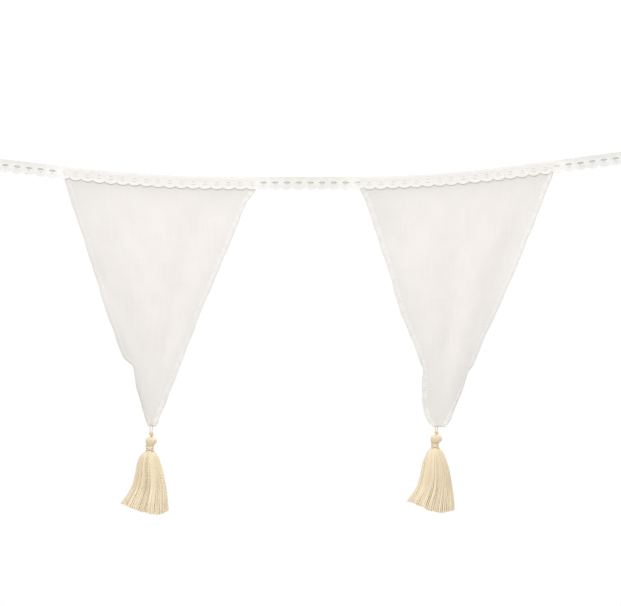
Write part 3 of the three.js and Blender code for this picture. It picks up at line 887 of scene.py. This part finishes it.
tassels = {
    "left": {
        "rows": {
            "down": (11.5, 12.5, 14.8, 17.4, 20.2, 25.6, 27.2, 30, 37, 46, 60, 70, 76, 82, 92),
            "left": (-0.5, -4.4, -5.7, -5.5, -4.3, -4.3, -8.2, -11.1, -14.4, -15.6, -18.7, -24.6, -30,
                     -33.5, -38),
            "right": (0.5, 4.2, 5.5, 5, 1.6, 1.4, 4.4, 6.5, 9, 11.8, 14.5, 16.1, 16.5, 17.2, 17.8),
            "depth": (0.5, 4.2, 5.5, 5.2, 3, 2.9, 5, 7.6, 9.6, 11.4, 13.6, 15, 15.5, 16, 16.5),
        },
        "hemX": (-29, -18, -10, 3, 9, 14, 18.4), "hemDown": (78.2, 82.2, 84.9, 87.9, 88.3, 86.2, 84.5),
        "neck": (20.4, 25.4), "knotHeight": 5.0, "seed": 21,
    },
    "right": {
        "rows": {
            "down": (8, 9, 12, 14.6, 17, 21.4, 23.2, 26.6, 34.4, 44, 59, 68, 74.7, 79, 90),
            "left": (-0.5, -4.3, -6.1, -5.7, -4.4, -4.4, -7.6, -10, -13.2, -15.2, -18.7, -24.2, -30,
                     -32.6, -37),
            "right": (0.5, 4.2, 5.9, 4.9, 1.5, 1.3, 4.6, 6.9, 10, 13, 15.3, 17, 17.5, 17.9, 18.4),
            "depth": (0.5, 4.2, 5.9, 5.3, 3, 2.9, 5, 7.4, 9.8, 11.6, 13.8, 15.2, 15.7, 16, 16.5),
        },
        "hemX": (-29, -13.3, -8.7, 5, 11, 18.2), "hemDown": (74.8, 80, 83, 85.7, 84.6, 83),
        "neck": (17.0, 21.4), "knotHeight": 3.0, "seed": 34,
    },
}

goldenTurn = 0.618034        # spreads the strands evenly round the tassel


# Where a tassel hangs: the axis of its cord, and the flag's tip just above it
def tasselPlace(side):
    low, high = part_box("tassel_hanger_" + side)
    return np.array([(low.x + high.x) / 2, (low.y + high.y) / 2, high.z + 0.3 * mm])


def strandThreads(side):
    tassel = tassels[side]
    rows = tassel["rows"]
    neckTop, neckEnd = tassel["neck"]
    dice = np.random.default_rng(tassel["seed"])
    place = tasselPlace(side)
    lockTints = dice.uniform(*yarn["lockTints"], yarn["locks"])
    lockLeans = dice.normal(0, yarn["lockLean"], yarn["locks"])
    footLeft, footRight = rows["left"][-2], rows["right"][-2]
    footMiddle, footHalf = (footRight + footLeft) / 2, (footRight - footLeft) / 2
    threads = []
    for number in range(yarn["strands"]):
        overHead = number < yarn["overHead"]
        outer = overHead or dice.random() < yarn["outerShare"]
        turn = (number * goldenTurn + yarn["turnJitter"] * dice.random()) % 1
        lock = int(turn * yarn["locks"])
        start = 2 * math.pi * turn
        bend = lockLeans[lock] + dice.normal(0, yarn["strandLean"])
        layer = dice.uniform(*yarn["outerLayer"]) if outer else math.sqrt(dice.uniform(*yarn["innerLayer"]))
        footX = footMiddle + layer * math.cos(start + bend) * footHalf
        end = np.interp(footX, tassel["hemX"], tassel["hemDown"])
        end = end + dice.normal(-yarn["endShort"], yarn["endSpread"])
        down = neckEnd + (end - neckEnd) * np.linspace(0, 1, yarn["skirtPoints"]) ** yarn["skirtPower"]
        head = np.linspace(rows["down"][0], neckEnd, yarn["headPoints"])[:-1]
        down = np.r_[head if overHead else neckTop + yarn["neckTuck"], down]
        loose = np.clip((down - neckEnd) / (end - neckEnd), 0, 1)
        angle = start + bend * loose ** 2
        soften = np.interp(down, (yarn["skirtStart"], yarn["skirtStart"] + yarn["softenOver"]),
                           (yarn["soften"], yarn["skirtSoften"]))
        left, right, depth = (softRead(rows, column, down, soften) for column in ("left", "right", "depth"))
        x = (left + right) / 2 + layer * (right - left) / 2 * np.cos(angle)
        y = -layer * depth * np.sin(angle)
        pinch = np.interp(down, (neckEnd, neckEnd + yarn["pinchOver"]), (yarn["pinch"], 1.0))
        radius = (yarn["radius"] if outer else yarn["innerRadius"]) * mm
        thickness = radius * pinch * dice.uniform(*yarn["radiusRange"])
        tint = yarn["lockShare"] * lockTints[lock] + (1 - yarn["lockShare"]) * dice.random()
        threads.append({"points": np.column_stack([x, y, -down]) * mm + place, "threadRadius": thickness,
                        "tint": float(np.clip(tint, yarn["darkest"], 1)), "loose": loose})
    return threads


def yarnTree():
    tree, given = geometryTree("yarn", {"Sides": "Int", "Waviness": "Float", "Seed": "Int", "Yarn": "Material"})
    curve = addNode(tree, "GeometryNodeMeshToCurve", {0: given["Geometry"]}).outputs[0]
    length = addNode(tree, "GeometryNodeSplineParameter").outputs["Length"]
    curve = addNode(tree, "GeometryNodeStoreNamedAttribute",
                    {"Geometry": curve, "Name": "along", "Value": length},
                    data_type="FLOAT", domain="POINT").outputs[0]
    noise = addNode(tree, "ShaderNodeTexNoise", {"Scale": 75.0, "Detail": 1.0, "W": given["Seed"]},
                    noise_dimensions="4D")
    centred = addNode(tree, "ShaderNodeVectorMath", {0: noise.outputs["Color"], 1: (0.5, 0.5, 0.5)},
                      operation="SUBTRACT")
    amount = mathNode(tree, "MULTIPLY", given["Waviness"], namedValue(tree, "loose"))
    wave = addNode(tree, "ShaderNodeVectorMath", {0: centred.outputs[0], "Scale": amount}, operation="SCALE")
    curve = addNode(tree, "GeometryNodeSetPosition", {"Geometry": curve, "Offset": wave.outputs[0]}).outputs[0]
    closeTree(tree, sweepThreads(tree, curve, given["Sides"], 1.0), given["Yarn"])
    return tree


def growYarn(name, threads, sides, waviness, finish=tasselFinish):
    return growPiece(name, threadObject("yarn paths", threads), yarnTree(),
                     {"Sides": sides, "Waviness": waviness, "Seed": yarn["seed"], "Yarn": finish})


def makeStrands(side):
    return growYarn("tassel_strands_" + side, strandThreads(side), yarn["sides"], yarn["waviness"])


# Cord and wrapping: plied threads round a path

cord = {
    "plies": 3, "plyRadius": 0.3, "plyOffset": 0.28, "plyPitch": 2.6, "plyTints": (0.55, 0.75, 0.4), "sides": 7,
    "gap": 1.1, "front": -1.1, "back": 1.5, "overTip": 1.8,
    "knotSteps": 72, "knotWidth": 1.75, "knotDepth": 0.9, "knotGap": 0.3, "neckDrop": 2.2,
    "tackAt": (-1.1, 3.1), "tackRadius": 0.3, "tackTint": 0.3,
    "wrapTurns": 4, "wrapSteps": 26, "wrapRadius": 0.4, "wrapInset": 0.3, "wrapTint": 0.12,
    "crossRadius": 0.44, "crossLean": 2.3, "crossSteps": 37, "crossGap": 1.7, "crossReach": {1: 0.5, -1: 0.75},
    "crossTint": 0.6, "crossTintStep": 0.2,
}


# A smooth line through a few points
def smoothPath(corners, count):
    corners = np.array(corners, dtype=float)
    padded = np.vstack([2 * corners[0] - corners[1], corners, 2 * corners[-1] - corners[-2]])
    place = np.linspace(0, len(corners) - 1, count)
    piece = np.minimum(place.astype(int), len(corners) - 2)
    t = (place - piece)[:, None]
    a, b, c, d = (padded[piece + offset] for offset in range(4))
    bend = 2 * a - 5 * b + 4 * c - d
    twist = 3 * b - a - 3 * c + d
    return 0.5 * (2 * b + (c - a) * t + bend * t ** 2 + twist * t ** 3)


# Strands twisted round a path, kept at an even turn by carrying a side vector along it
def plyPaths(path):
    steps = np.gradient(path, axis=0)
    steps /= np.linalg.norm(steps, axis=1, keepdims=True)
    lengths = np.r_[0, np.cumsum(np.linalg.norm(np.diff(path, axis=0), axis=1))]
    sideways = np.cross(steps[0], (0.3, 1.0, 0.2))
    frames = []
    for step in steps:
        sideways = sideways - step * np.dot(sideways, step)
        sideways /= np.linalg.norm(sideways)
        frames.append((sideways, np.cross(step, sideways)))
    across, over = (np.array(axis) for axis in zip(*frames))
    paths = []
    for ply in range(cord["plies"]):
        angle = 2 * math.pi * (lengths / cord["plyPitch"] + ply / cord["plies"])[:, None]
        paths.append(path + cord["plyOffset"] * (np.cos(angle) * across + np.sin(angle) * over))
    return paths


# The cord comes up in front of the flag's tip, goes through the cloth and down behind, then ends in a knot
def makeHanger(side):
    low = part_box("tassel_hanger_" + side)[0]
    place = tasselPlace(side)
    bottom = (low.z - place[2]) / mm
    stem = bottom + tassels[side]["knotHeight"]
    gap, over = cord["gap"], cord["overTip"]
    loop = smoothPath([
        (-gap * 0.5, 0, stem - 1.2), (-gap, cord["front"] * 0.3, stem * 0.6), (-gap, cord["front"], -0.8),
        (-gap, cord["front"], over * 0.6), (-gap * 0.7, cord["front"] * 0.6, over), (0, 0.2, over + 0.2),
        (gap * 0.7, cord["back"] * 0.8, over), (gap, cord["back"], over * 0.5), (gap, cord["back"], -0.8),
        (gap, cord["back"] * 0.3, stem * 0.6), (gap * 0.5, 0, stem - 1.2)], 48)
    turn = np.linspace(0, 2 * math.pi, cord["knotSteps"])
    width = cord["knotWidth"] / 3
    tall = (stem - bottom) / 2 - cord["plyRadius"] - cord["knotGap"]
    knot = np.column_stack([
        width * (np.sin(turn) + 2 * np.sin(2 * turn)),
        width * cord["knotDepth"] * (np.cos(turn) - 2 * np.cos(2 * turn)),
        (stem + bottom) / 2 - tall * np.sin(3 * turn),
    ])
    threads = []
    neck = smoothPath([(0, 0, stem - 0.6), (0.2, 0, bottom), (0, 0, bottom - cord["neckDrop"])], 12)
    for path in (loop, knot, neck):
        for points, tint in zip(plyPaths(path), cord["plyTints"]):
            threads.append({"points": points * mm + place, "tint": tint,
                            "threadRadius": cord["plyRadius"] * mm, "loose": 0.0})
    for x in cord["tackAt"]:        # stitches that hold the cord to the tip
        tack = smoothPath([
            (x, cord["front"] * 0.5, 1.3), (x, cord["front"] * 0.8, 0.8), (x, cord["front"] * 0.6, 0.1),
            (x, 0.2, -0.2), (x, cord["back"] * 0.8, 0.1), (x, cord["back"], 0.8),
            (x, cord["back"] * 0.5, 1.3)], 18)
        threads.append({"points": tack * mm + place, "tint": cord["tackTint"],
                        "threadRadius": cord["tackRadius"] * mm, "loose": 0.0})
    return growYarn("tassel_cord_" + side, threads, cord["sides"], 0.0)


# Turns wound round the neck, with a pair of threads crossed over them in front and behind
def makeBinding(side):
    low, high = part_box("tassel_binding_" + side)
    middle = np.array([(low.x + high.x) / 2, (low.y + high.y) / 2, (low.z + high.z) / 2])
    outer = (high.x - low.x) / 2 / mm - cord["wrapRadius"] - cord["wrapInset"]
    tall = (high.z - low.z) / mm - 2 * cord["wrapRadius"]
    turn = np.linspace(0, 2 * math.pi * cord["wrapTurns"], cord["wrapSteps"] * cord["wrapTurns"])
    wound = np.column_stack([outer * np.cos(turn), outer * np.sin(turn), tall / 2 - tall * turn / turn[-1]])
    threads = [{"points": wound * mm + middle, "tint": cord["wrapTint"],
                "threadRadius": cord["wrapRadius"] * mm, "loose": 0.0}]
    once = np.linspace(0, 2 * math.pi, cord["crossSteps"])
    for lean in (1, -1):
        for step in (-0.5, 0.5):
            reach = outer + cord["crossReach"][lean]
            height = lean * cord["crossLean"] * np.cos(once) + step * cord["crossGap"] * cord["crossRadius"]
            ring = np.column_stack([reach * np.cos(once), reach * np.sin(once), height])
            tint = cord["crossTint"] + cord["crossTintStep"] * step
            threads.append({"points": ring * mm + middle, "tint": tint,
                            "threadRadius": cord["crossRadius"] * mm, "loose": 0.0})
    return growYarn("tassel_wrap_" + side, threads, cord["sides"], 0.0)


# Making

def settle(piece, slot, *nodes):
    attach(piece, "root")
    if nodes:
        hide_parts(*nodes)
    return piece


tape, tapeFlat = makeLaceTape()
settle(tape, "lace_cotton", "lace_tape")
tapeEnds = [settle(makeTapeEnds(), "lace_cotton"), settle(makeEndStitches(), "lace_cotton")]
print("lace tape hung")

for side in flags:
    cloth, flatSize, area = makeFlag(side)
    settle(cloth, "flag_cotton", "flag_" + side)
    seams = settle(makeStitches(side), "flag_cotton")
    settle(makeStrands(side), "tassel_yarn", "tassel_yarn_" + side)
    settle(makeHanger(side), "tassel_yarn", "tassel_hanger_" + side)
    settle(makeBinding(side), "tassel_yarn", "tassel_binding_" + side)
    print("flag and tassel hung:", side)


# Stage, light and camera

stage = {
    "floorDrop": 0.22, "floorRadius": 0.62, "floorSides": 64, "floorFade": 0.45,
    "floorColor": (0.93, 0.93, 0.92, 1), "floorShade": (0.915, 0.915, 0.905, 1),
    "floorRoughness": 0.9, "mottleScale": 9.0, "skyLight": 0.71, "skyWhite": 1.0, "lampAim": (0, 0, -0.13),
}
lamps = (
    {"name": "key softbox", "place": (-0.45, -1.35, 1.45), "size": 0.8, "power": 26.0},
    {"name": "fill softbox", "place": (1.3, -1.5, 0.3), "size": 1.4, "power": 5.0},
    {"name": "back softbox", "place": (0.5, 1.5, 1.2), "size": 1.2, "power": 15.0},
)
shot = {"frame": (621, 606), "lens": 150.0, "sensor": 36.0, "pixel": 1.0 * mm, "centre": (310.5, 303.0),
        "origin": (310.5, 176.5), "reach": 20}


def makeFloor():
    material, tree, shader = newMaterial("pale floor")
    shader.inputs["Roughness"].default_value = stage["floorRoughness"]
    place = addNode(tree, "ShaderNodeTexCoord").outputs["Object"]
    mottle = rampNode(tree, noiseNode(tree, place, stage["mottleScale"]), 0.35, 0.65, 0.0, 1.0)
    plug(tree, mixColor(tree, mottle, stage["floorShade"], stage["floorColor"]), shader.inputs["Base Color"])
    flatPlace = addNode(tree, "ShaderNodeVectorMath", {0: place, 1: (1, 1, 0)}, operation="MULTIPLY")
    reach = addNode(tree, "ShaderNodeVectorMath", {0: flatPlace.outputs[0]}, operation="LENGTH")
    radius = stage["floorRadius"]
    solid = rampNode(tree, reach.outputs["Value"], radius * stage["floorFade"], radius, 1.0, 0.0)
    plug(tree, solid, shader.inputs["Alpha"])
    count = stage["floorSides"]
    ring = [(radius * math.cos(2 * math.pi * i / count), radius * math.sin(2 * math.pi * i / count),
             cadBox[0][2] - stage["floorDrop"]) for i in range(count)]
    mesh = bpy.data.meshes.new("floor")
    mesh.from_pydata(ring, [], [list(range(count))])
    mesh.materials.append(material)
    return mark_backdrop(meshObject("floor", mesh))


def makeSky():
    world = bpy.data.worlds.new("studio white")
    scene.world = world
    world.use_nodes = True
    tree = world.node_tree
    back = tree.nodes["Background"]
    back.inputs["Color"].default_value = (1, 1, 1, 1)
    seen = addNode(tree, "ShaderNodeLightPath").outputs["Is Camera Ray"]
    strength = mathNode(tree, "ADD", mathNode(tree, "MULTIPLY", seen, stage["skyWhite"] - stage["skyLight"]),
                        stage["skyLight"])
    plug(tree, strength, back.inputs["Strength"])


def makeLamps():
    for lamp in lamps:
        light = bpy.data.lights.new(lamp["name"], "AREA")
        light.size = lamp["size"]
        light.energy = lamp["power"]
        piece = bpy.data.objects.new(lamp["name"], light)
        piece.location = lamp["place"]
        piece.rotation_euler = (Vector(stage["lampAim"]) - piece.location).to_track_quat("-Z", "Y").to_euler()
        scene.collection.objects.link(piece)


def makeCamera():
    camera = bpy.data.cameras.new("camera")
    camera.lens = shot["lens"]
    camera.sensor_width = shot["sensor"]
    camera.clip_end = shot["reach"]
    piece = bpy.data.objects.new("camera", camera)
    away = shot["frame"][0] * shot["pixel"] * shot["lens"] / shot["sensor"]
    across = (shot["centre"][0] - shot["origin"][0]) * shot["pixel"]
    height = (shot["origin"][1] - shot["centre"][1]) * shot["pixel"]
    piece.location = (across, -away, height)
    piece.rotation_euler = (math.pi / 2, 0, 0)
    scene.collection.objects.link(piece)
    scene.camera = piece


makeFloor()
makeSky()
makeLamps()
makeCamera()
scene.view_settings.view_transform = "Standard"
print("stage, light and camera set")
